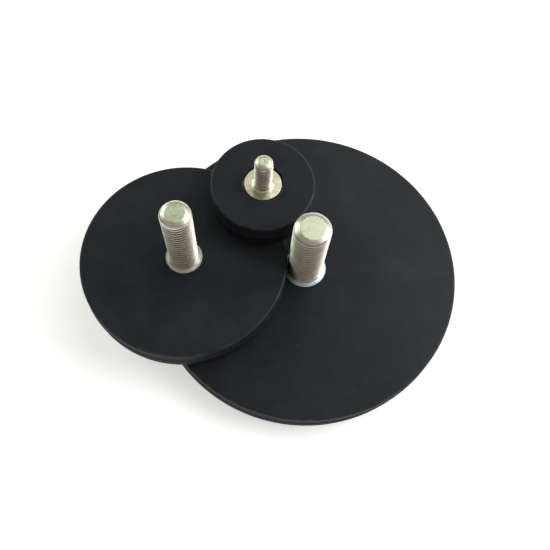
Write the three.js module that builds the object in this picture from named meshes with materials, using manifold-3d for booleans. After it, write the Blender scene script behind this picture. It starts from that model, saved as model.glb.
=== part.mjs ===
// Three rubber-coated disc magnets, each with a threaded stud on its back, lying on one another.
// Millimetres, +Z up. The origin is the centre of the large magnet's holding face.
import * as THREE from "three";
import { mergeVertices } from "three/addons/utils/BufferGeometryUtils.js";
import Module from "manifold-3d";

// Clearances
const fitGap = 0.3; // between the pieces inside one magnet
const restGap = 0.1; // between two magnets that lie on each other
const mediumGap = 0.3; // between the medium magnet's edge and the large stud it is pushed against
const smallGap = 1.9; // between the small magnet's edge and the same stud
const shankUndercut = 0.1; // the plain shank is this much thinner than the thread's root
const rubberWeb = 1.4; // least spacing between two neighbouring magnet discs

// ISO metric thread: depth and flat root as shares of the pitch
const threadDepthShare = 0.6134;
const rootFlatShare = 0.27;

// Facets round a circle
const discFacets = 16;
const studFacets = 16;
const bushFacets = 24;
const edgeFacets = 2; // along each rounded edge of the rubber
const weldDistance = 1e-4; // vertices closer than this are one

// Each magnet: outside sizes, the rubber round the iron, the iron, the bush and the stud.
const large = {
  name: "large",
  radius: 44,
  thickness: 9,
  edgeRounding: 0.5,
  sideWall: 2,
  faceSkin: 1,
  topCover: 1.4,
  yokeThickness: 2.4,
  yokeMargin: 1,
  ringCounts: [12, 6],
  facets: 60,
  bush: { wall: 0.8, collar: 0, foot: 1.7, footHeight: 1.6, bevel: 0.4, proud: 0 },
  stud: { radius: 5, pitch: 1.5, height: 26, endBevel: 1.6, endHeight: 0.9, dimpleRadius: 0, dimpleDepth: 0 },
};
const medium = {
  name: "medium",
  radius: 28.5,
  thickness: 8.5,
  edgeRounding: 0.5,
  sideWall: 1.8,
  faceSkin: 1,
  topCover: 1.3,
  yokeThickness: 2,
  yokeMargin: 1,
  ringCounts: [8],
  facets: 48,
  bush: { wall: 0.7, collar: 0, foot: 1.5, footHeight: 1.5, bevel: 0.35, proud: 0 },
  stud: { radius: 4, pitch: 1.25, height: 26, endBevel: 1.3, endHeight: 1.2, dimpleRadius: 0.4, dimpleDepth: 0.4 },
};
const small = {
  name: "small",
  radius: 14.5,
  thickness: 9,
  edgeRounding: 0.4,
  sideWall: 1.5,
  faceSkin: 1,
  topCover: 1.4,
  yokeThickness: 2.2,
  yokeMargin: 0.6,
  ringCounts: [4],
  facets: 40,
  bush: { wall: 0.9, collar: 1.45, foot: 0, footHeight: 1.4, bevel: 0.2, proud: -0.3 },
  stud: { radius: 2.5, pitch: 0.8, height: 11, endBevel: 1.1, endHeight: 1.2, dimpleRadius: 0.3, dimpleDepth: 0.3 },
};

// Where the upper two lie: each at its own bearing from the large stud.
const mediumBearing = THREE.MathUtils.degToRad(188.2);
const smallBearing = THREE.MathUtils.degToRad(132.6);

const wasm = await Module();
wasm.setup();

// Materials
function standard(color, roughness, metalness) {
  return new THREE.MeshStandardMaterial({ color, roughness, metalness });
}
const rubber = standard(0x23282a, 0.75, 0);
const zinc = standard(0xc6cbb9, 0.3, 1);
const yokeSteel = standard(0x8d9192, 0.5, 1);
const nickel = standard(0xd4cfc2, 0.25, 1);

// Solids and geometries

function toSolid(geometry) {
  const bare = geometry.index ? geometry.toNonIndexed() : geometry.clone();
  for (const extra of ["normal", "uv"]) bare.deleteAttribute(extra);
  const merged = mergeVertices(bare, weldDistance);
  return new wasm.Manifold(
    new wasm.Mesh({
      numProp: 3,
      vertProperties: merged.attributes.position.array,
      triVerts: new Uint32Array(merged.index.array),
    }),
  );
}

function toGeometry(solid) {
  const mesh = solid.getMesh();
  return new THREE.BufferGeometry()
    .setAttribute("position", new THREE.BufferAttribute(mesh.vertProperties, 3))
    .setIndex(new THREE.BufferAttribute(mesh.triVerts, 1));
}

// A body of revolution about Z from [radius, height] points.
function turned(points, facets) {
  const outline = points.map(([radius, height]) => new THREE.Vector2(radius, height));
  return new THREE.LatheGeometry(outline, facets).rotateX(Math.PI / 2);
}

// Points along a quarter circle about (radius, height), from one angle to the next, in degrees.
function roundedEdge(radius, height, rounding, fromDegrees) {
  return Array.from({ length: edgeFacets + 1 }, (_, step) => {
    const angle = THREE.MathUtils.degToRad(fromDegrees + (90 * step) / edgeFacets);
    return [radius + rounding * Math.cos(angle), height + rounding * Math.sin(angle)];
  });
}

// The heights and radii that the pieces of one magnet share.
function layout(magnet) {
  const boreRadius = magnet.stud.radius + fitGap;
  const bushRadius = boreRadius + magnet.bush.wall;
  const collarRadius = bushRadius + magnet.bush.collar;
  const footRadius = bushRadius + magnet.bush.foot;
  const yokeRadius = magnet.radius - magnet.sideWall;
  const yokeTop = magnet.thickness - magnet.topCover - fitGap;
  const yokeBottom = yokeTop - magnet.yokeThickness;
  const footTop = yokeBottom - fitGap;
  const footBottom = footTop - magnet.bush.footHeight;
  const bandOuter = yokeRadius - magnet.yokeMargin;
  const bandInner = footRadius + fitGap;
  const bandWidth = (bandOuter - bandInner) / magnet.ringCounts.length;
  const rings = magnet.ringCounts.map((count, index) => ({
    count,
    radius: bandOuter - (index + 0.5) * bandWidth,
  }));
  // The discs are as wide as the bands and the spacing round the rings let them be.
  const roundRoom = rings.map((ring) => ring.radius * Math.sin(Math.PI / ring.count));
  const discRadius = Math.min(bandWidth / 2, ...roundRoom) - rubberWeb / 2;
  const radii = { boreRadius, bushRadius, collarRadius, footRadius, yokeRadius, discRadius };
  return { ...radii, yokeTop, yokeBottom, footTop, footBottom, rings };
}

// Centre of each magnet disc in a ring.
function ringPlaces(ring) {
  return Array.from({ length: ring.count }, (_, index) => {
    const angle = (2 * Math.PI * index) / ring.count;
    return new THREE.Vector3(ring.radius * Math.cos(angle), ring.radius * Math.sin(angle), 0);
  });
}

// Pieces

// The moulded rubber: skin under the discs, a pocket for each disc, room for the yoke, a hole for the bush.
function jacketGeometry(magnet) {
  const { collarRadius, footRadius, yokeRadius, discRadius, rings } = layout(magnet);
  const { yokeTop, footTop, footBottom } = layout(magnet);
  const rounding = magnet.edgeRounding;
  const rim = magnet.radius - rounding;
  const shell = turned(
    [
      [0, 0],
      ...roundedEdge(rim, rounding, rounding, -90),
      ...roundedEdge(rim, magnet.thickness - rounding, rounding, 0),
      [collarRadius + fitGap, magnet.thickness],
      [collarRadius + fitGap, yokeTop + fitGap],
      [yokeRadius + fitGap, yokeTop + fitGap],
      [yokeRadius + fitGap, footTop],
      [footRadius + fitGap, footTop],
      [footRadius + fitGap, footBottom - fitGap],
      [0, footBottom - fitGap],
    ],
    magnet.facets,
  );
  const pocketDepth = footTop - magnet.faceSkin;
  const pocket = toSolid(
    new THREE.CylinderGeometry(
      discRadius + fitGap,
      discRadius + fitGap,
      pocketDepth + fitGap,
      discFacets,
    ).rotateX(Math.PI / 2),
  );
  const pocketMiddle = magnet.faceSkin + (pocketDepth + fitGap) / 2;
  const places = rings.flatMap(ringPlaces);
  const body = places.reduce(
    (solid, place) => solid.subtract(pocket.translate([place.x, place.y, pocketMiddle])),
    toSolid(shell),
  );
  return toGeometry(body);
}

// The round steel plate that joins the discs' fields and holds the bush.
function yokeGeometry(magnet) {
  const { bushRadius, yokeRadius, yokeTop, yokeBottom } = layout(magnet);
  const hole = bushRadius + fitGap;
  const section = [
    [hole, yokeBottom],
    [yokeRadius, yokeBottom],
    [yokeRadius, yokeTop],
    [hole, yokeTop],
    [hole, yokeBottom],
  ];
  return turned(section, magnet.facets);
}

// One flat magnet disc, its lower face on the skin.
function discGeometry(magnet) {
  const { footTop, discRadius } = layout(magnet);
  const base = magnet.faceSkin + fitGap;
  const section = [
    [0, base],
    [discRadius, base],
    [discRadius, footTop],
    [0, footTop],
  ];
  return turned(section, discFacets);
}

// The bush swaged into the yoke: foot below it, body through it, collar round the stud with a bevelled mouth.
function bushGeometry(magnet) {
  const { yokeTop, footTop, footBottom } = layout(magnet);
  const { boreRadius, bushRadius, collarRadius, footRadius } = layout(magnet);
  const { bevel, proud } = magnet.bush;
  const top = magnet.thickness + proud;
  const section = [
    [boreRadius, footBottom],
    [footRadius, footBottom],
    [footRadius, footTop],
    [bushRadius, footTop],
    [bushRadius, yokeTop + fitGap],
    [collarRadius, yokeTop + fitGap],
    [collarRadius, top],
    [boreRadius + bevel, top],
    [boreRadius, top - bevel],
    [boreRadius, footBottom],
  ];
  return turned(section.filter(differsFromLast), bushFacets);
}

function differsFromLast(point, index, points) {
  const last = points[index - 1];
  return !last || last[0] !== point[0] || last[1] !== point[1];
}

function minorRadius(stud) {
  return stud.radius - threadDepthShare * stud.pitch;
}

// A screw thread about Z from below zero to above the length: rows of points climb as helices.
function threadSolid(stud, length) {
  const minor = minorRadius(stud);
  const section = [
    { radius: minor, share: 0 },
    { radius: minor, share: rootFlatShare },
    { radius: stud.radius, share: (1 + rootFlatShare) / 2 },
  ];
  const turns = Math.ceil(length / stud.pitch) + 2;
  const rows = turns * section.length;
  const points = [];
  for (let row = 0; row < rows; row++) {
    const { radius, share } = section[row % section.length];
    const start = Math.floor(row / section.length) - 1 + share;
    for (let column = 0; column < studFacets; column++) {
      const turn = column / studFacets;
      const angle = 2 * Math.PI * turn;
      points.push(radius * Math.cos(angle), radius * Math.sin(angle), stud.pitch * (start + turn));
    }
  }
  // One step past the last column is the first column, a full turn higher.
  const at = (row, column) =>
    column < studFacets ? row * studFacets + column : (row + section.length) * studFacets;
  const faces = [];
  for (let row = 0; row < rows - 1; row++)
    for (let column = 0; column < studFacets; column++) {
      if (column === studFacets - 1 && row + 1 + section.length >= rows) continue;
      const [a, b] = [at(row, column), at(row, column + 1)];
      const [c, d] = [at(row + 1, column + 1), at(row + 1, column)];
      faces.push(a, b, c, a, c, d);
    }
  return closedBelowAndAbove(points, faces);
}

// Closes a tube-like surface by joining each of its open loops to a point of its own on the axis.
function closedBelowAndAbove(points, faces) {
  const edges = new Map();
  for (let index = 0; index < faces.length; index += 3)
    for (const step of [0, 1, 2]) {
      const from = faces[index + step];
      const to = faces[index + ((step + 1) % 3)];
      if (edges.get(to)?.has(from)) edges.get(to).delete(from);
      else edges.set(from, (edges.get(from) ?? new Set()).add(to));
    }
  const open = new Map([...edges].filter(([, ends]) => ends.size).map(([from, ends]) => [from, [...ends][0]]));
  while (open.size) {
    const first = open.keys().next().value;
    const centre = points.length / 3;
    let height = 0;
    let count = 0;
    let here = first;
    do {
      const next = open.get(here);
      open.delete(here);
      faces.push(next, here, centre);
      height += points[3 * here + 2];
      count += 1;
      here = next;
    } while (here !== first);
    points.push(0, 0, height / count);
  }
  return new wasm.Manifold(
    new wasm.Mesh({
      numProp: 3,
      vertProperties: new Float32Array(points),
      triVerts: new Uint32Array(faces),
    }),
  );
}

// The threaded stud: a plain shank fixed in the bush, a thread from the bush's mouth up, a chamfered end.
function studGeometry(magnet) {
  const { footBottom } = layout(magnet);
  const { radius, height, endBevel, endHeight, dimpleRadius, dimpleDepth } = magnet.stud;
  const top = magnet.thickness + height;
  const margin = 1; // the cutting shape stands this far outside the thread
  const shankRadius = minorRadius(magnet.stud) - shankUndercut;
  const shankTop = magnet.thickness + magnet.bush.proud - magnet.bush.bevel;
  const slope = endHeight / endBevel;
  const cutter = turned(
    [
      [0, footBottom],
      [shankRadius, footBottom],
      [shankRadius, shankTop],
      [radius + margin, shankTop],
      [radius + margin, top - endHeight - margin * slope],
      [radius - endBevel, top],
      [dimpleRadius, top],
      [0, top - dimpleDepth],
    ].filter(differsFromLast),
    studFacets,
  );
  const thread = threadSolid(magnet.stud, top - footBottom).translate([0, 0, footBottom]);
  return toGeometry(thread.intersect(toSolid(cutter)));
}

// Assembly

function piece(name, geometry, material) {
  const mesh = new THREE.Mesh(geometry, material);
  mesh.name = name;
  return mesh;
}

function magnetGroup(magnet) {
  const group = new THREE.Group();
  group.add(
    piece(`${magnet.name}_rubber_jacket`, jacketGeometry(magnet), rubber),
    piece(`${magnet.name}_yoke_plate`, yokeGeometry(magnet), yokeSteel),
    piece(`${magnet.name}_bush`, bushGeometry(magnet), zinc),
    piece(`${magnet.name}_threaded_stud`, studGeometry(magnet), zinc),
  );
  const disc = discGeometry(magnet);
  layout(magnet)
    .rings.flatMap(ringPlaces)
    .forEach((place, index) => {
      const number = String(index + 1).padStart(2, "0");
      const mesh = piece(`${magnet.name}_magnet_disc_${number}`, disc, nickel);
      mesh.position.copy(place);
      group.add(mesh);
    });
  return group;
}

// A place beside the large stud, clear of it by the gap.
function besideStud(magnet, bearing, gap, height) {
  const reach = magnet.radius + large.stud.radius + gap;
  return new THREE.Vector3(reach * Math.cos(bearing), reach * Math.sin(bearing), height);
}

const mediumHeight = large.thickness + restGap;
const smallHeight = mediumHeight + medium.thickness + restGap;

const set = new THREE.Group();
const largeGroup = magnetGroup(large);
const mediumGroup = magnetGroup(medium);
const smallGroup = magnetGroup(small);
mediumGroup.position.copy(besideStud(medium, mediumBearing, mediumGap, mediumHeight));
smallGroup.position.copy(besideStud(small, smallBearing, smallGap, smallHeight));
set.add(largeGroup, mediumGroup, smallGroup);

export default set;
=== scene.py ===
import math
import bmesh
import bpy
from mathutils import Matrix, Vector, noise


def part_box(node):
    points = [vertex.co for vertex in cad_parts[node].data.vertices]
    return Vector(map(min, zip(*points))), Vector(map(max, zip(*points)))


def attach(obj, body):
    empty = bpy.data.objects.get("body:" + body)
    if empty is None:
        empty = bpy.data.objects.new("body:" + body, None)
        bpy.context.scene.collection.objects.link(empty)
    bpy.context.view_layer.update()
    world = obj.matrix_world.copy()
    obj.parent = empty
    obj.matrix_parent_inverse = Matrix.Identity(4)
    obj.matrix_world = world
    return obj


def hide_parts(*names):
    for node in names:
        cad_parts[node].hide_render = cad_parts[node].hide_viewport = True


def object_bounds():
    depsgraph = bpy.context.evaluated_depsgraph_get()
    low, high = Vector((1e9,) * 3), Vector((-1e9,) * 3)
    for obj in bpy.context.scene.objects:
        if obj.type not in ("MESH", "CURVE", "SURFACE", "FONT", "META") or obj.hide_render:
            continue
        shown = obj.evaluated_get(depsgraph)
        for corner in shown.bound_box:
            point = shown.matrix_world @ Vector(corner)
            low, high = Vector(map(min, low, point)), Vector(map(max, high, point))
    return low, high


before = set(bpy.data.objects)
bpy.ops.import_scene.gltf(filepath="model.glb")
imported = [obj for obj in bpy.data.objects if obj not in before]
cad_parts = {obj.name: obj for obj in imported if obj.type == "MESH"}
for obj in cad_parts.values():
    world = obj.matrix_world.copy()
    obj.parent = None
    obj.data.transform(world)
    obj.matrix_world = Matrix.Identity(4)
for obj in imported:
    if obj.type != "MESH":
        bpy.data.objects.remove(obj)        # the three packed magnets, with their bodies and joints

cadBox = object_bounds()
mm = 0.001
fitGap = 0.3 * mm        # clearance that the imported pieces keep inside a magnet
tolerance = 0.02 * mm    # radii and heights closer than this are the same
sizes = ("large", "medium", "small")
print("frame loaded:", len(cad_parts), "nodes")


def centreOf(size):  # a magnet's axis, at height 0
    low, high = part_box(size + "_rubber_jacket")
    return Vector(((low.x + high.x) / 2, (low.y + high.y) / 2, 0))


def ringsOf(node, centre):  # every (radius, height) that a turned node's corners stand at
    corners = set()
    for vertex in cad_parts[node].data.vertices:
        reach = math.hypot(vertex.co.x - centre.x, vertex.co.y - centre.y)
        corners.add((round(reach, 6), round(vertex.co.z, 6)))
    return sorted(corners)


def near(first, second):
    return abs(first - second) < tolerance


def bushSizes(size):  # the turned steps of a bush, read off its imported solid
    rings = ringsOf(size + "_bush", centreOf(size))
    low = min(z for r, z in rings)
    high = max(z for r, z in rings)
    foot = max(r for r, z in rings if near(z, low))
    footTop = max(z for r, z in rings if near(r, foot))
    collar = max(r for r, z in rings if near(z, high))
    collarLow = min(z for r, z in rings if near(r, collar))
    return {
        "bore": min(r for r, z in rings),
        "low": low,
        "high": high,
        "foot": foot,
        "footTop": footTop,
        "collar": collar,
        "collarLow": max(collarLow, footTop),
    }


def studSizes(size):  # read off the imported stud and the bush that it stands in
    low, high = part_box(size + "_threaded_stud")
    rings = ringsOf(size + "_threaded_stud", centreOf(size))
    return {
        "radius": (high.x - low.x) / 2,
        "shank": max(r for r, z in rings if near(z, low.z)),
        "low": low.z,
        "mouth": bushSizes(size)["high"],
        "top": high.z,
    }


def discNodes(size):
    return sorted(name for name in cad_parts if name.startswith(size + "_magnet_disc"))


def roundedOutline(corners, closed, steps=5, hold=0.1 * mm):  # corners are (radius, height, rounding)
    outline = []  # (radius, height, on a rounded edge)
    ends = () if closed else (0, len(corners) - 1)
    for index, (r, z, rounding) in enumerate(corners):
        if index in ends or rounding == 0:
            outline.append((r, z, 0.0))
            continue
        here = Vector((r, z))
        back = Vector(corners[index - 1][:2]) - here
        ahead = Vector(corners[(index + 1) % len(corners)][:2]) - here
        backWay, aheadWay = back.normalized(), ahead.normalized()
        opening = back.angle(ahead)
        reach = rounding / math.tan(opening / 2)
        middle = here + (backWay + aheadWay).normalized() * (rounding / math.sin(opening / 2))
        first, last = here + backWay * reach, here + aheadWay * reach
        if back.length > 2 * (reach + hold):
            before = here + backWay * (reach + hold)  # a ring that keeps the flat side flat
            outline.append((before.x, before.y, 0.0))
        for step in range(steps + 1):
            spoke = (first - middle).slerp(last - middle, step / steps)
            point = middle + spoke.normalized() * rounding
            outline.append((point.x, point.y, 1.0))
        if ahead.length > 2 * (reach + hold):
            after = here + aheadWay * (reach + hold)
            outline.append((after.x, after.y, 0.0))
    return outline


def withRings(outline, spacing):  # splits the long runs, so that a face can be a little uneven
    split = [outline[0]]
    for point in outline[1:]:
        r, z, mark = split[-1]
        pieces = max(1, int(math.hypot(point[0] - r, point[1] - z) / spacing))
        for step in range(1, pieces):
            share = step / pieces
            split.append((r + (point[0] - r) * share, z + (point[1] - z) * share, 0.0))
        split.append(point)
    return split


def turnedMesh(name, outline, segments, closed):  # a body of revolution about its own Z
    vertices, marks, rings = [], [], []
    for r, z, mark in outline:
        if r < tolerance:
            rings.append([len(vertices)] * segments)
            vertices.append((0, 0, z))
            marks.append(mark)
            continue
        rings.append(list(range(len(vertices), len(vertices) + segments)))
        for step in range(segments):
            angle = 2 * math.pi * step / segments
            vertices.append((r * math.cos(angle), r * math.sin(angle), z))
            marks.append(mark)
    pairs = list(zip(rings, rings[1:]))
    if closed:
        pairs.append((rings[-1], rings[0]))
    faces = []
    for lower, upper in pairs:
        for step in range(segments):
            nextStep = (step + 1) % segments
            face = [lower[step], lower[nextStep], upper[nextStep], upper[step]]
            face = list(dict.fromkeys(face))  # on the axis two corners are one
            if len(face) > 2:
                faces.append(face)
    mesh = bpy.data.meshes.new(name)
    mesh.from_pydata(vertices, [], faces)
    addMark(mesh, "edge", marks)
    return mesh


def addMark(mesh, name, values):  # a number on each vertex, which a material can read
    mark = mesh.attributes.new(name, "FLOAT", "POINT")
    mark.data.foreach_set("value", values)


def uneven(mesh, depth, patch, seed):  # moves level faces inwards, by up to the depth
    leans = [normal.vector.z for normal in mesh.vertex_normals]
    for vertex, lean in zip(mesh.vertices, leans):
        wave = 0.5 + 0.5 * noise.noise(Vector((vertex.co.x / patch, vertex.co.y / patch, seed)))
        vertex.co.z -= depth * max(0.0, min(1.0, wave)) * lean


def finishMesh(mesh, sharpAngle=40):
    mesh.validate()
    mesh.polygons.foreach_set("use_smooth", [True] * len(mesh.polygons))
    mesh.set_sharp_from_angle(angle=math.radians(sharpAngle))
    mesh.update()
    return mesh


def placePiece(mesh, name, size, slot, *stoodFor):  # a new piece on the body of its magnet
    piece = bpy.data.objects.new(name, finishMesh(mesh))
    bpy.context.scene.collection.objects.link(piece)
    piece.location = centreOf(size)
    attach(piece, size + "_magnet")
    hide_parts(*stoodFor)


class Amount:  # a socket that Python's own operators work on
    def __init__(self, recipe, socket):
        self.recipe = recipe
        self.socket = socket

    def maths(self, operation, first, second):
        return self.recipe.node("Math", {"operation": operation}, {0: first, 1: second})

    def __add__(self, other):
        return self.maths("ADD", self, other)

    def __radd__(self, other):
        return self.maths("ADD", other, self)

    def __sub__(self, other):
        return self.maths("SUBTRACT", self, other)

    def __rsub__(self, other):
        return self.maths("SUBTRACT", other, self)

    def __mul__(self, other):
        return self.maths("MULTIPLY", self, other)

    def __rmul__(self, other):
        return self.maths("MULTIPLY", other, self)


class Recipe:  # one material and the nodes in it
    def __init__(self, name):
        self.material = bpy.data.materials.new(name)
        self.material.use_nodes = True
        self.tree = self.material.node_tree
        self.tree.nodes.clear()

    def node(self, kind, settings=None, inputs=None, output=0):
        made = self.tree.nodes.new("ShaderNode" + kind)
        for key, value in (settings or {}).items():
            if key == "stops":
                self.setStops(made.color_ramp, value)
            else:
                setattr(made, key, value)
        for key, value in (inputs or {}).items():
            if isinstance(value, Amount):
                self.tree.links.new(value.socket, made.inputs[key])
            else:
                made.inputs[key].default_value = value
        return None if output is None else Amount(self, made.outputs[output])

    def setStops(self, ramp, stops):
        while len(ramp.elements) < len(stops):
            ramp.elements.new(1.0)
        for element, (position, level) in zip(ramp.elements, stops):
            element.position = position
            element.color = (level, level, level, 1)

    def position(self, size, stretch=(1, 1, 1)):  # from the piece's origin, counted in units of size
        here = self.node("TexCoord", output="Object")
        scale = tuple(part / size for part in stretch)
        return self.node("VectorMath", {"operation": "MULTIPLY"}, {0: here, 1: scale})

    def aside(self, size, direction):  # how far out in a direction
        inputs = {0: self.position(size), 1: direction}
        return self.node("VectorMath", {"operation": "DOT_PRODUCT"}, inputs, output="Value")

    def grain(self, size, detail, roughness, stretch=(1, 1, 1)):
        inputs = {
            "Vector": self.position(size, stretch),
            "Scale": 1.0,
            "Detail": detail,
            "Roughness": roughness,
        }
        return self.node("TexNoise", None, inputs)

    def turnedRings(self, size, detail):  # fine rings about the piece's own axis, as a lathe leaves them
        flat = {0: self.position(size, (1, 1, 0))}
        reach = self.node("VectorMath", {"operation": "LENGTH"}, flat, output="Value")
        inputs = {"W": reach, "Scale": 1.0, "Detail": detail}
        return self.node("TexNoise", {"noise_dimensions": "1D"}, inputs)

    def between(self, amount, low, high):  # 0 up to low, 1 from high on, and a ramp between them
        return self.node("ValToRGB", {"stops": [(low, 0), (high, 1)]}, {"Fac": amount})

    def mark(self, name):
        return self.node("Attribute", {"attribute_name": name}, output="Fac")

    def blend(self, amount, first, second):  # between two colours, which are this node's sockets 6 and 7
        colours = [(*colour, 1) if isinstance(colour, tuple) else colour for colour in (first, second)]
        return self.node("Mix", {"data_type": "RGBA"}, {0: amount, 6: colours[0], 7: colours[1]}, output=2)

    def bump(self, height, distance, below=None):
        inputs = {"Height": height, "Distance": distance, "Strength": 1.0}
        if below:
            inputs["Normal"] = below
        return self.node("Bump", None, inputs)

    def finish(self, inputs):
        surface = self.node("BsdfPrincipled", None, inputs)
        self.node("OutputMaterial", None, {"Surface": surface}, output=None)
        return self.material


cameraSetup = {
    "aim": (-8.20 * mm, 0.13 * mm, 0),  # from the large magnet's axis, at height 0
    "distance": 196.6 * mm,
    "azimuth": 0.43,
    "elevation": 68.14,
    "roll": 6.66,
    "lens": 42.71,
    "sensor": 36,
    "nearest": 1 * mm,
    "farthest": 20,
}


def makeCamera(setup):
    rise = math.radians(setup["elevation"])
    swing = Matrix.Rotation(math.radians(setup["azimuth"]), 3, "Z")
    ahead = swing @ Vector((0, math.cos(rise), -math.sin(rise)))
    turn = Matrix.Rotation(-math.radians(setup["roll"]), 3, ahead) @ swing
    right = turn @ Vector((1, 0, 0))
    up = turn @ Vector((0, math.sin(rise), math.cos(rise)))
    data = bpy.data.cameras.new("camera")
    data.lens = setup["lens"]
    data.sensor_width = setup["sensor"]
    data.clip_start = setup["nearest"]
    data.clip_end = setup["farthest"]
    camera = bpy.data.objects.new("camera", data)
    bpy.context.scene.collection.objects.link(camera)
    axes = Matrix((right, up, -ahead)).transposed().to_4x4()
    where = centreOf("large") + swing @ Vector(setup["aim"]) - ahead * setup["distance"]
    camera.matrix_world = Matrix.Translation(where) @ axes
    bpy.context.scene.camera = camera


lightSetup = {  # soft boxes round the middle of the set, each facing it
    "key": {
        "towards": (0.80, 0.16, 0.50),
        "distance": 0.55,
        "size": (0.40, 0.34),
        "glow": 4.4,
        "tint": (1.0, 0.99, 0.97),
    },
    "overhead": {
        "towards": (0.38, 0.40, 0.83),
        "distance": 0.70,
        "size": (0.60, 0.50),
        "glow": 1.45,
        "tint": (0.95, 1.0, 0.97),
    },
    "leftFill": {
        "towards": (-0.80, 0.42, 0.45),
        "distance": 0.60,
        "size": (0.35, 0.35),
        "glow": 2.6,
        "tint": (0.82, 1.0, 0.87),
    },
}


def makeLights(setups):
    low, high = cadBox
    middle = (low + high) / 2
    for name, setup in setups.items():
        data = bpy.data.lights.new(name, "AREA")
        data.shape = "RECTANGLE"
        data.size, data.size_y = setup["size"]
        data.energy = setup["glow"] * math.pi * data.size * data.size_y
        data.color = setup["tint"]
        lamp = bpy.data.objects.new(name, data)
        bpy.context.scene.collection.objects.link(lamp)
        towards = Vector(setup["towards"]).normalized()
        lamp.location = middle + towards * setup["distance"]
        lamp.rotation_euler = towards.to_track_quat("Z", "Y").to_euler()


worldSetup = {"colour": (0.295, 0.275, 0.24), "strength": 1.0}


def makeWorld(setup):
    world = bpy.data.worlds.new("room")
    world.use_nodes = True
    background = world.node_tree.nodes["Background"]
    background.inputs["Color"].default_value = (*setup["colour"], 1)
    background.inputs["Strength"].default_value = setup["strength"]
    bpy.context.scene.world = world


floorSetup = {
    "size": 12.0,
    "drop": 0.05 * mm,           # below the magnets
    "colour": (0.92, 0.92, 0.92),
    "glow": 0.55,
}


def makeFloor(setup):
    half = setup["size"] / 2
    corners = [(-half, -half, 0), (half, -half, 0), (half, half, 0), (-half, half, 0)]
    mesh = bpy.data.meshes.new("floor")
    mesh.from_pydata(corners, [], [(0, 1, 2, 3)])
    floor = bpy.data.objects.new("floor", mesh)
    bpy.context.scene.collection.objects.link(floor)
    floor.location.z = cadBox[0].z - setup["drop"]
    colour = (*setup["colour"], 1)
    mesh.materials.append(Recipe("palePaper").finish({
        "Base Color": colour,
        "Roughness": 0.9,
        "Specular IOR Level": 0.0,
        "Emission Color": colour,
        "Emission Strength": setup["glow"],
    }))


bpy.context.scene.view_settings.view_transform = "Standard"
makeCamera(cameraSetup)
makeLights(lightSetup)
makeWorld(worldSetup)
makeFloor(floorSetup)
print("camera, floor and light are set")


rubberLook = {
    "dark": (0.0052, 0.0066, 0.0090),
    "pale": (0.0135, 0.0162, 0.0205),
    "wall": (0.0035, 0.0032, 0.0060),   # painted shade: the sides are darker than the top
    "worn": (0.050, 0.056, 0.060),      # rubbed edges, lightened further as a painted highlight
    "dustAndSheen": (0.10, 0.10, 0.095),        # dust, also in scratches and specks, and the painted sheen towards one side
    "sheen": (0.80, 0.89, 1.0, 1),      # tint of the gloss
    "gloss": 0.30,
    "roughness": 0.50,
    "cloudSize": 14 * mm,
    "patchSize": 3.2 * mm,
    "fineSize": 0.35 * mm,
    "wearAndHighlightSize": 2.4 * mm,
    "scratchSize": 9 * mm,
    "smearSize": 8 * mm,
    "speckSize": 0.8 * mm,
    "sheenAndDustSpan": 80 * mm,
    "sheenAndDustSide": (0.8, 0.6, 0),        # dust and painted sheen: the rubber is lighter towards this edge
    # how far the sides take the painted shade
    "wallShadeShare": 0.75,
    # how strongly the edges are lightened, for wear and a painted highlight
    "wearAndPaintedLight": 0.36,
    "scratches": 0.08,
    "smears": 0.07,
    "sideSheenAndDust": 0.10,
    "specks": 0.20,
    "waves": 0.06 * mm,                 # height of the relief
    "fineWaves": 0.012 * mm,
}
rubberDustAndSheen = {"large": 1.0, "medium": 0.35, "small": 0.5}  # how much dust and painted sheen lies on each magnet


def rubberMaterial(name, look, dustAndSheen):
    recipe = Recipe(name)
    cloud = recipe.grain(look["cloudSize"], 4, 0.6)
    patch = recipe.grain(look["patchSize"], 3, 0.55)
    fine = recipe.grain(look["fineSize"], 2, 0.5)
    edge = recipe.mark("edge")
    wall = recipe.mark("wall")
    mottle = recipe.between(cloud * 0.7 + patch * 0.3, 0.36, 0.64)
    base = recipe.blend(mottle, look["dark"], look["pale"])
    # painted shade: the side walls are darkened towards the wall colour
    base = recipe.blend(wall * look["wallShadeShare"], base, look["wall"])
    # rubbed edges with a painted highlight: the rounded edges are lightened
    wearAndPaintedLight = edge * recipe.between(recipe.grain(look["wearAndHighlightSize"], 4, 0.65), 0.42, 0.62)
    base = recipe.blend(wearAndPaintedLight * look["wearAndPaintedLight"], base, look["worn"])
    scratch = recipe.between(recipe.grain(look["scratchSize"], 1, 0.4, (1, 14, 1)), 0.745, 0.765)
    base = recipe.blend(scratch * look["scratches"], base, look["dustAndSheen"])
    smear = recipe.between(recipe.grain(look["smearSize"], 4, 0.6, (1, 1.3, 1)), 0.54, 0.76)
    # dust and painted sheen: the rubber is lighter towards one side
    sideSheenAndDust = recipe.between(recipe.aside(look["sheenAndDustSpan"], look["sheenAndDustSide"]) + 0.5, 0.42, 0.80)
    lying = (smear * look["smears"] + sideSheenAndDust * look["sideSheenAndDust"]) * dustAndSheen
    base = recipe.blend(lying, base, look["dustAndSheen"])
    specks = recipe.between(recipe.grain(look["speckSize"], 0, 0.5), 0.82, 0.86)
    base = recipe.blend(specks * look["specks"], base, look["dustAndSheen"])
    relief = recipe.bump(cloud * 0.5 + patch * 0.5, look["waves"])
    relief = recipe.bump(fine, look["fineWaves"], relief)
    return recipe.finish({
        "Base Color": base,
        "Roughness": look["roughness"] + patch * 0.16 + wall * 0.16 - edge * 0.08,
        "Specular IOR Level": look["gloss"],
        "Specular Tint": look["sheen"],
        "Normal": relief,
    })


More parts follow.
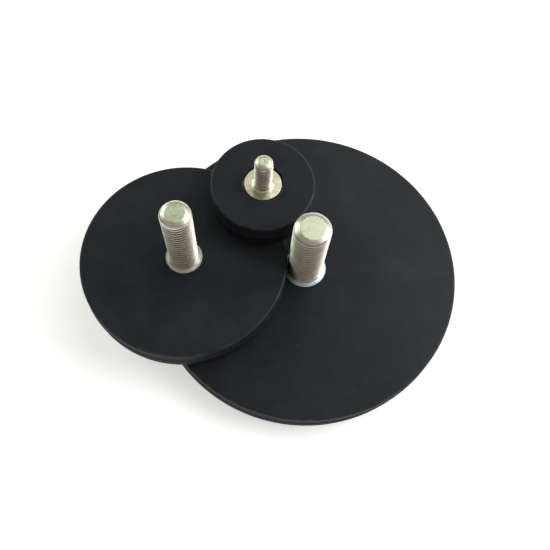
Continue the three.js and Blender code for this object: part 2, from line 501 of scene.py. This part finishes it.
zincLook = {
    "bright": (0.82, 0.84, 0.76),
    "warm": (0.66, 0.565, 0.45),
    # dirt, which also paints shade into the thread grooves
    "dirtAndShade": (0.050, 0.036, 0.026),
    "face": (0.76, 0.80, 0.60),
    "faceDull": (0.56, 0.59, 0.45),
    "roughness": 0.31,
    "cloudSize": 2.6 * mm,
    "fineSize": 0.28 * mm,
    "turnedSize": 0.5 * mm,      # streaks that run round the stud
    "wornSize": 1.1 * mm,
    "pitSize": 0.55 * mm,
    "ringSize": 0.16 * mm,
    "pits": 0.35,
    "waves": 0.012 * mm,
    "fineWaves": 0.015 * mm,
}
studWear = {  # dirt and painted shade in the thread, and wear on the end face
    "large": {"dirtAndShade": 0.62, "face": 0.35},
    "medium": {"dirtAndShade": 1.0, "face": 0.9},
    "small": {"dirtAndShade": 0.95, "face": 1.0},
}


def studMaterial(name, look, wearAndPaintedLight):
    recipe = Recipe(name)
    groove = recipe.mark("groove")
    face = recipe.mark("face")
    cloud = recipe.grain(look["cloudSize"], 3, 0.6)
    fine = recipe.grain(look["fineSize"], 3, 0.6)
    turned = recipe.grain(look["turnedSize"], 2, 0.5, (0.25, 0.25, 1.6))
    base = recipe.blend(recipe.between(cloud, 0.35, 0.70), look["bright"], look["warm"])
    # dirt and painted shade: the thread grooves are darkened, up over the flanks
    dirtAndShade = recipe.between(groove, 0.08, 0.40) * (0.60 + fine * 0.7) * wearAndPaintedLight["dirtAndShade"]
    base = recipe.blend(dirtAndShade, base, look["dirtAndShade"])
    worn = recipe.between(recipe.grain(look["wornSize"], 3, 0.65), 0.40, 0.66)
    endFace = recipe.blend(worn * wearAndPaintedLight["face"], look["face"], look["faceDull"])
    base = recipe.blend(face, base, endFace)
    pits = recipe.between(recipe.grain(look["pitSize"], 0, 0.5), 0.76, 0.82)
    base = recipe.blend(pits * look["pits"], base, look["dirtAndShade"])
    rings = recipe.turnedRings(look["ringSize"], 2.0)
    relief = recipe.bump(turned * (1 - face) + rings * face, look["waves"])
    relief = recipe.bump(fine - pits, look["fineWaves"], relief)
    return recipe.finish({
        "Base Color": base,
        "Roughness": look["roughness"] + cloud * 0.12 + groove * 0.14 + face * 0.10,
        "Metallic": 1.0,
        "Normal": relief,
    })


collarLook = {
    "spot": (0.22, 0.18, 0.10),
    "spots": 0.6,
    "spotSize": 0.55 * mm,
    "cloudSize": 1.9 * mm,
    "fineSize": 0.22 * mm,
    "ringSize": 0.14 * mm,
}
collarFinishes = {  # waves is the height of the tool marks
    "large": {
        "bright": (0.66, 0.84, 0.90),
        "dull": (0.50, 0.67, 0.73),
        "roughness": 0.34,
        "waves": 0.010 * mm,
    },
    "medium": {
        "bright": (0.66, 0.67, 0.56),
        "dull": (0.50, 0.51, 0.42),
        "roughness": 0.46,
        "waves": 0.014 * mm,
    },
    "small": {
        "bright": (0.80, 0.78, 0.58),
        "dull": (0.63, 0.62, 0.43),
        "roughness": 0.20,
        "waves": 0.010 * mm,
    },
}


def collarMaterial(name, look, finish):  # turned and plated
    recipe = Recipe(name)
    cloud = recipe.grain(look["cloudSize"], 3, 0.6)
    fine = recipe.grain(look["fineSize"], 2, 0.5)
    rings = recipe.turnedRings(look["ringSize"], 3.0)
    base = recipe.blend(recipe.between(cloud, 0.35, 0.68), finish["bright"], finish["dull"])
    spots = recipe.between(recipe.grain(look["spotSize"], 0, 0.5), 0.74, 0.79)
    base = recipe.blend(spots * look["spots"], base, look["spot"])
    return recipe.finish({
        "Base Color": base,
        "Roughness": finish["roughness"] + cloud * 0.12 + rings * 0.08,
        "Metallic": 1.0,
        "Normal": recipe.bump(rings * 0.7 + fine * 0.3, finish["waves"]),
    })


innerLooks = {  # the iron and the discs, closed in by the rubber
    "mildSteel": {
        "bright": (0.34, 0.35, 0.36),
        "dull": (0.22, 0.22, 0.22),
        "roughness": 0.38,
        "cloudSize": 5 * mm,
        "fineSize": 0.5 * mm,
        "waves": 0.012 * mm,
    },
    "nickelPlate": {
        "bright": (0.70, 0.67, 0.60),
        "dull": (0.60, 0.57, 0.50),
        "roughness": 0.20,
        "cloudSize": 5 * mm,
        "fineSize": 0.4 * mm,
        "waves": 0.012 * mm,
    },
}


def innerMaterial(name):
    look = innerLooks[name]
    recipe = Recipe(name)
    cloud = recipe.grain(look["cloudSize"], 4, 0.6)
    fine = recipe.grain(look["fineSize"], 3, 0.6)
    mottle = recipe.between(cloud * 0.6 + fine * 0.4, 0.35, 0.65)
    return recipe.finish({
        "Base Color": recipe.blend(mottle, look["bright"], look["dull"]),
        "Roughness": look["roughness"] + cloud * 0.2,
        "Metallic": 1.0,
        "Normal": recipe.bump(fine, look["waves"]),
    })


jacketShape = {
    "segments": 256,
    "edge": 0.5 * mm,            # rounding of the outer edges
    "ridge": 0.22 * mm,          # the parting line stands out by this
    "ridgeHalf": 0.40 * mm,
    "ridgeFoot": 0.10 * mm,      # roundings beside the parting line and on it
    "ridgeTop": 0.12 * mm,
    "lip": 0.18 * mm,            # rounding round the hole for the bush
    "wallDepth": 0.05 * mm,      # what lies this close to the side counts as wall
    "ringSpacing": 1.6 * mm,
    "unevenness": 0.035 * mm,
    "unevenPatch": 11 * mm,
    "unevenSeed": 3.7,           # step from one magnet's pattern to the next
    "lipGap": {"large": 0.12 * mm, "medium": 0.10 * mm, "small": 0.42 * mm},  # rubber to collar
}


def channels(size, discLow, discTop):  # the rings that the magnet discs lie in, from the outside in
    centre = centreOf(size)
    spans = []
    for name in discNodes(size):
        low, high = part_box(name)
        reach = math.hypot((low.x + high.x) / 2 - centre.x, (low.y + high.y) / 2 - centre.y)
        half = (high.x - low.x) / 2 + fitGap
        if all(abs(reach - other) > half for other, otherHalf in spans):
            spans.append((reach, half))
    corners = []
    for reach, half in sorted(spans, reverse=True):
        corners += [
            (reach + half, discTop, 0),
            (reach + half, discLow - fitGap, 0),
            (reach - half, discLow - fitGap, 0),
            (reach - half, discTop, 0),
        ]
    return corners


def makeJacket(size, material):
    shape = jacketShape
    low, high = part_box(size + "_rubber_jacket")
    yokeLow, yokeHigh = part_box(size + "_yoke_plate")
    discLow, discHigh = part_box(discNodes(size)[0])
    bush = bushSizes(size)
    outer = (high.x - low.x) / 2
    body = outer - shape["ridge"]
    ridgeZ = (low.z + high.z) / 2
    hole = bush["collar"] + shape["lipGap"][size]
    yokeRoom = (yokeHigh.x - yokeLow.x) / 2 + fitGap
    yokeRoof = yokeHigh.z + fitGap
    footRoom = bush["foot"] + fitGap
    footFloor = bush["low"] - fitGap
    corners = [
        (0, low.z, 0),
        (body, low.z, shape["edge"]),
        (body, ridgeZ - shape["ridgeHalf"], shape["ridgeFoot"]),
        (outer, ridgeZ, shape["ridgeTop"]),
        (body, ridgeZ + shape["ridgeHalf"], shape["ridgeFoot"]),
        (body, high.z, shape["edge"]),
        (hole, high.z, shape["lip"]),
        (hole, yokeRoof, 0),
        (yokeRoom, yokeRoof, 0),
        (yokeRoom, discHigh.z, 0),
        *channels(size, discLow.z, discHigh.z),
        (footRoom, discHigh.z, 0),
        (footRoom, footFloor, 0),
        (0, footFloor, 0),
    ]
    outline = withRings(roundedOutline(corners, False), shape["ringSpacing"])
    mesh = turnedMesh(size + "Jacket", outline, shape["segments"], False)
    # the side walls are marked for their painted shade and rougher rubber
    walls = []
    for vertex in mesh.vertices:
        outside = math.hypot(vertex.co.x, vertex.co.y) > body - shape["wallDepth"]
        walls.append(1.0 if outside and vertex.co.z < high.z - shape["edge"] else 0.0)
    addMark(mesh, "wall", walls)
    uneven(mesh, shape["unevenness"], shape["unevenPatch"], sizes.index(size) * shape["unevenSeed"])
    mesh.materials.append(material)
    placePiece(mesh, size + "RubberJacket", size, "rubber", size + "_rubber_jacket")


bushShape = {
    "segments": 128,
    "edge": 0.12 * mm,
    "mouthGap": 0.03 * mm,       # stud to the mouth of the bore
    "mouthDepth": 0.50 * mm,
    "lipFoot": 0.10 * mm,        # rounding at the foot of the lip
    "lipTop": 0.03 * mm,         # and round its top
    "lipRim": 0.06 * mm,         # width of the lip's top
    "lip": {                     # a low cone round the foot of each stud: width and height
        "large": (0.72 * mm, 0.30 * mm),
        "medium": (0.50 * mm, 0.26 * mm),
        "small": (0.55 * mm, 0.24 * mm),
    },
}


def withoutRepeats(corners):  # leaves out a corner that stands where the one before it does
    kept = [corners[0]]
    for corner in corners[1:]:
        if corner[:2] != kept[-1][:2]:
            kept.append(corner)
    return kept


def makeBush(size, material):
    shape = bushShape
    bush = bushSizes(size)
    bore, collar, high = bush["bore"], bush["collar"], bush["high"]
    body = min(collar, bush["foot"])
    edge = shape["edge"]
    mouth = studSizes(size)["radius"] + shape["mouthGap"]
    mouthLow = high - shape["mouthDepth"]
    width, height = shape["lip"][size]
    corners = withoutRepeats([
        (bore, bush["low"], edge),
        (bush["foot"], bush["low"], edge),
        (bush["foot"], bush["footTop"], edge),
        (body, bush["footTop"], 0),
        (body, bush["collarLow"], 0),
        (collar, bush["collarLow"], edge),
        (collar, high, edge),
        (mouth + width, high, shape["lipFoot"]),
        (mouth + shape["lipRim"], high + height, shape["lipTop"]),
        (mouth, high + height, 0),
        (mouth, mouthLow, 0),
        (bore, mouthLow - (mouth - bore), 0),
    ])
    outline = roundedOutline(corners, True, 4, 0.05 * mm)
    mesh = turnedMesh(size + "Bush", outline, shape["segments"], True)
    mesh.materials.append(material)
    placePiece(mesh, size + "PlatedBush", size, "zinc_plate", size + "_bush")


threadShape = {
    "depth": 0.6134,             # of a pitch
    "rootFlat": 0.14,            # flats as shares of half a pitch
    "crestFlat": 0.22,
    "soft": 0.35,                # how far the flanks run smoothly into the flats
    "rows": 16,                  # to a turn
    "columns": 80,
    "faceRows": 2.5,             # rows lie this much further apart across an end
    "clear": 0.3 * mm,           # past the crests, where nothing is cut off the thread
    "footBevel": 0.3 * mm,
    "shankEnd": 0.35 * mm,       # the plain shank ends this far below the bush's top
    "threadStart": 0.10 * mm,    # and the thread is whole from here on
    "runOut": 0.55,              # share of the depth that is left where the last turn ends
    "jitter": 0.018 * mm,        # knocks and wear, less of them at the root
    "jitterPatch": 1.3 * mm,
    "rootJitter": 0.3,
}
studShapes = {
    "large": {
        "pitch": 1.50 * mm,
        "bevel": 1.60 * mm,
        "bevelHeight": 0.95 * mm,
        "dome": 0.30,
        "faceStep": 0.24 * mm,
        "faceEdge": 0.16 * mm,
        "dimple": 0.0,
        "dimpleDepth": 0.0,
    },
    "medium": {
        "pitch": 1.25 * mm,
        "bevel": 1.45 * mm,
        "bevelHeight": 1.25 * mm,
        "dome": 0.65,
        "faceStep": 0.06 * mm,
        "faceEdge": 0.14 * mm,
        "dimple": 0.26 * mm,
        "dimpleDepth": 0.22 * mm,
    },
    "small": {
        "pitch": 0.80 * mm,
        "bevel": 1.10 * mm,
        "bevelHeight": 1.20 * mm,
        "dome": 0.70,
        "faceStep": 0.05 * mm,
        "faceEdge": 0.18 * mm,
        "dimple": 0.20 * mm,
        "dimpleDepth": 0.12 * mm,
    },
}
dimpleCurve = ((1.5, 0), (1.15, 0.08), (0.8, 0.4), (0.4, 0.85))  # shares of its radius and of its depth


def threadHeight(share):  # 0 at the root and 1 at the crest, from the share of a pitch
    root, crest = threadShape["rootFlat"], threadShape["crestFlat"]
    ramp = (1 - abs(2 * share - 1) - root) / (1 - root - crest)
    ramp = max(0.0, min(1.0, ramp))
    rounded = ramp * ramp * (3 - 2 * ramp)
    return ramp + (rounded - ramp) * threadShape["soft"]


def endCurve(radius, top, shape, steps=10):  # from the thread's outside over the bevel to the face
    points = []
    for step in range(steps + 1):
        share = step / steps
        turn = share * math.pi / 2
        straight = Vector((shape["bevel"] * share, shape["bevelHeight"] * (1 - share)))
        domed = Vector((shape["bevel"] * (1 - math.cos(turn)), shape["bevelHeight"] * (1 - math.sin(turn))))
        inwards, down = straight.lerp(domed, shape["dome"])
        points.append((radius - inwards, top - down))
    return points


def studOutline(stud, shape):  # (limit, height) from the lower face to the end face
    clear = stud["radius"] + threadShape["clear"]
    bevel = threadShape["footBevel"]
    shoulder = stud["top"] - shape["faceStep"]
    face = stud["radius"] - shape["bevel"]
    corners = [
        (0, stud["low"]),
        (stud["shank"] - bevel, stud["low"]),
        (stud["shank"], stud["low"] + bevel),
        (stud["shank"], stud["mouth"] - threadShape["shankEnd"]),
        (clear, stud["mouth"] - threadShape["threadStart"]),
        (clear, shoulder - shape["bevelHeight"]),
        *endCurve(stud["radius"], shoulder, shape),
        (face - shape["faceEdge"] / 2, stud["top"]),
        (face - shape["faceEdge"], stud["top"]),
    ]
    if shape["dimple"]:
        for out, down in dimpleCurve:
            corners.append((shape["dimple"] * out, stud["top"] - shape["dimpleDepth"] * down))
    corners.append((0, stud["top"] - shape["dimpleDepth"]))
    return corners


def runningPath(corners, clear, rowStep):  # (running length, limit, height)
    path = [(0.0, *corners[0])]
    for before, after in zip(corners, corners[1:]):
        across = abs(after[0] - before[0])
        if clear in (before[0], after[0]):
            across = 0  # nothing is cut off here, so no rows are spent on it
        up = abs(after[1] - before[1])
        running = path[-1][0] + max(up, across / threadShape["faceRows"], rowStep / 2)
        path.append((running, *after))
    return path


def alongPath(path, running):  # the limit and the height at a running length
    if running <= 0:
        return path[0][1:]
    for (start, startLimit, startZ), (end, endLimit, endZ) in zip(path, path[1:]):
        if running <= end:
            share = (running - start) / (end - start)
            return startLimit + (endLimit - startLimit) * share, startZ + (endZ - startZ) * share
    return path[-1][1:]


def helixFaces(rowCount, rows, columns):  # each row's last column joins the row that is one turn higher
    faces = []
    for row in range(rowCount - 1 - rows):
        for column in range(columns):
            here = row * columns + column
            right = (row + rows) * columns if column == columns - 1 else here + 1
            faces.append((here, right, right + columns, here + columns))
    return faces


def weld(mesh):  # joins corners that meet, and returns the number of open edges
    made = bmesh.new()
    made.from_mesh(mesh)
    bmesh.ops.remove_doubles(made, verts=made.verts, dist=0.0005 * mm)
    bmesh.ops.delete(made, geom=[v for v in made.verts if not v.link_faces], context="VERTS")
    openEdges = sum(1 for edge in made.edges if not edge.is_manifold)
    made.to_mesh(mesh)
    made.free()
    return openEdges


def studMesh(size, stud):  # the thread is a grid wound up the stud, cut back to the outline
    shape, thread = studShapes[size], threadShape
    rows, columns, pitch = thread["rows"], thread["columns"], shape["pitch"]
    rowStep = pitch / rows
    path = runningPath(studOutline(stud, shape), stud["radius"] + thread["clear"], rowStep)
    rowCount = math.ceil((path[-1][0] + 2 * pitch) / rowStep) + rows
    threadEnd = stud["top"] - shape["bevelHeight"]
    faceStart = stud["radius"] - shape["bevel"] + tolerance
    middle = (stud["low"] + stud["top"]) / 2
    vertices, grooves, faceMarks = [], [], []
    for row in range(rowCount):
        height = threadHeight((row % rows) / rows)
        for column in range(columns):
            turn = column / columns
            angle = 2 * math.pi * turn
            limit, z = alongPath(path, (row - rows) * rowStep + pitch * turn)
            full = max(thread["runOut"], min(1.0, (threadEnd - z) / pitch))
            reach = stud["radius"] - thread["depth"] * pitch * (1 - height) * full
            spot = Vector((math.cos(angle) * reach, math.sin(angle) * reach, z)) / thread["jitterPatch"]
            jitter = thread["jitter"] * (0.5 + 0.5 * noise.noise(spot))
            reach -= jitter * (thread["rootJitter"] + height)
            cut = min(reach, limit)
            vertices.append((cut * math.cos(angle), cut * math.sin(angle), z))
            grooves.append((1 - height) * full if reach <= limit else 0.0)
            faceMarks.append(1.0 if z > middle and limit <= faceStart else 0.0)
    mesh = bpy.data.meshes.new(size + "Stud")
    mesh.from_pydata(vertices, [], helixFaces(rowCount, rows, columns))
    addMark(mesh, "groove", grooves)
    addMark(mesh, "face", faceMarks)
    openEdges = weld(mesh)
    print(size, "stud:", len(mesh.polygons), "faces,", openEdges, "open edges")
    return mesh


def makeStud(size, material):
    mesh = studMesh(size, studSizes(size))
    mesh.materials.append(material)
    placePiece(mesh, size + "ThreadedStud", size, "zinc_plate", size + "_threaded_stud")


def coat(node, material):
    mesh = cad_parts[node].data
    mesh.materials.clear()
    mesh.materials.append(material)


iron = innerMaterial("mildSteel")
nickel = innerMaterial("nickelPlate")
for size in sizes:
    makeJacket(size, rubberMaterial(size + "Rubber", rubberLook, rubberDustAndSheen[size]))
    makeBush(size, collarMaterial(size + "Collar", collarLook, collarFinishes[size]))
    makeStud(size, studMaterial(size + "Zinc", zincLook, studWear[size]))
    coat(size + "_yoke_plate", iron)
    for name in discNodes(size):
        coat(name, nickel)
    print(size, "magnet is dressed")
